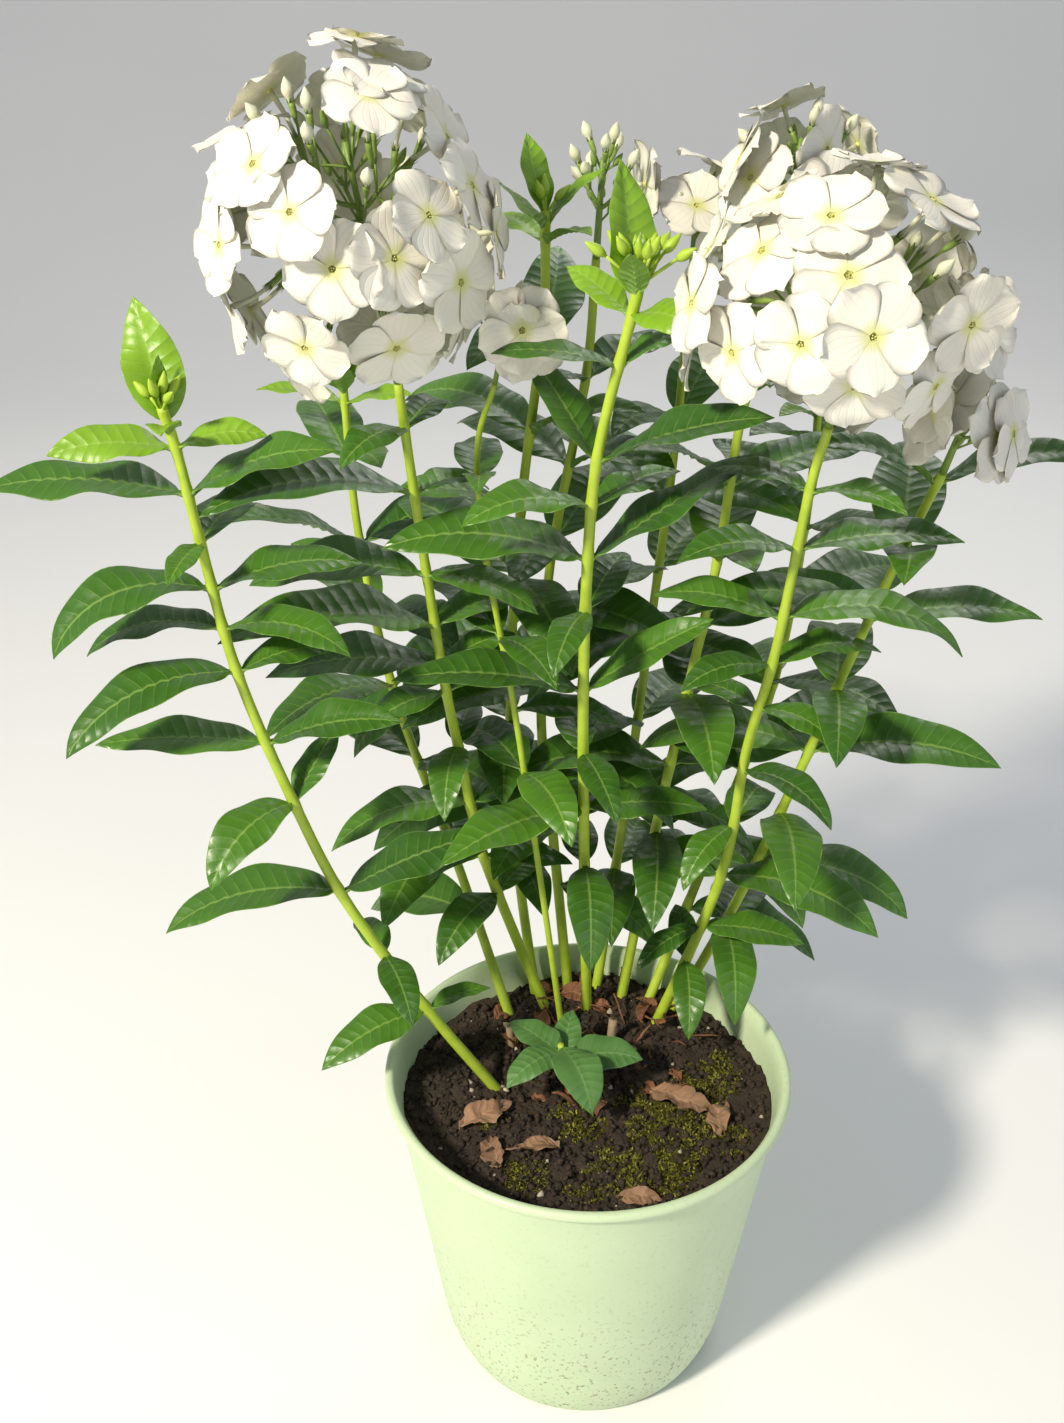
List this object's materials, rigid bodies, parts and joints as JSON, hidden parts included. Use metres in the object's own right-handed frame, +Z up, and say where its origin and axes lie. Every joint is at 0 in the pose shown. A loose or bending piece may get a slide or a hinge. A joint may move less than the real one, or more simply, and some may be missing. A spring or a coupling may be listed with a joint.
{
  "type": "potted phlox plant",
  "caption": "Upright leafy perennial in a tapered round pot with a rolled lip, its stems topped with domed heads of white five-petalled flowers.",
  "frame": {"origin": "centre of the pot's flat underside", "axes": "+Z up along the pot's axis, -Y towards the side seen in the picture"},
  "size_m": [0.4502, 0.3362, 0.6623],
  "materials": {
    "pot": "matte pale green",
    "soil": null,
    "leaf": "satin dark green leaves on yellow-green stems",
    "petal": "soft white petals with a pale yellow eye, on green stalks",
    "dry_leaf": "dry matte brown leaf",
    "old_stub": "dry straw-coloured stem"
  },
  "bodies": {
    "root": {"pot": "pot", "soil": "soil", "stem_left": "leaf", "stem_centre": "leaf", "stem_right": "leaf", "stem_mid_left": "leaf", "stem_back_centre": "leaf", "stem_back_right": "leaf", "stem_far_right": "leaf", "stem_back_left": "leaf", "stem_rear": "leaf", "stem_rear_left": "leaf", "stem_rear_right": "leaf", "stem_slender": "leaf", "stem_low_shoot": "leaf", "left_head": "petal", "right_head": "petal", "back_head": "petal", "bud_head": "petal", "rear_head": "petal", "far_right_head": "petal", "slender_head": "petal", "dry_leaf_1": "dry_leaf", "dry_leaf_2": "dry_leaf", "dry_leaf_3": "dry_leaf", "dry_leaf_4": "dry_leaf", "dry_leaf_5": "dry_leaf", "dry_leaf_6": "dry_leaf", "old_stub_1": "old_stub", "old_stub_2": "old_stub", "old_stub_3": "old_stub", "old_stub_4": "old_stub"}
  },
  "joints": []
}
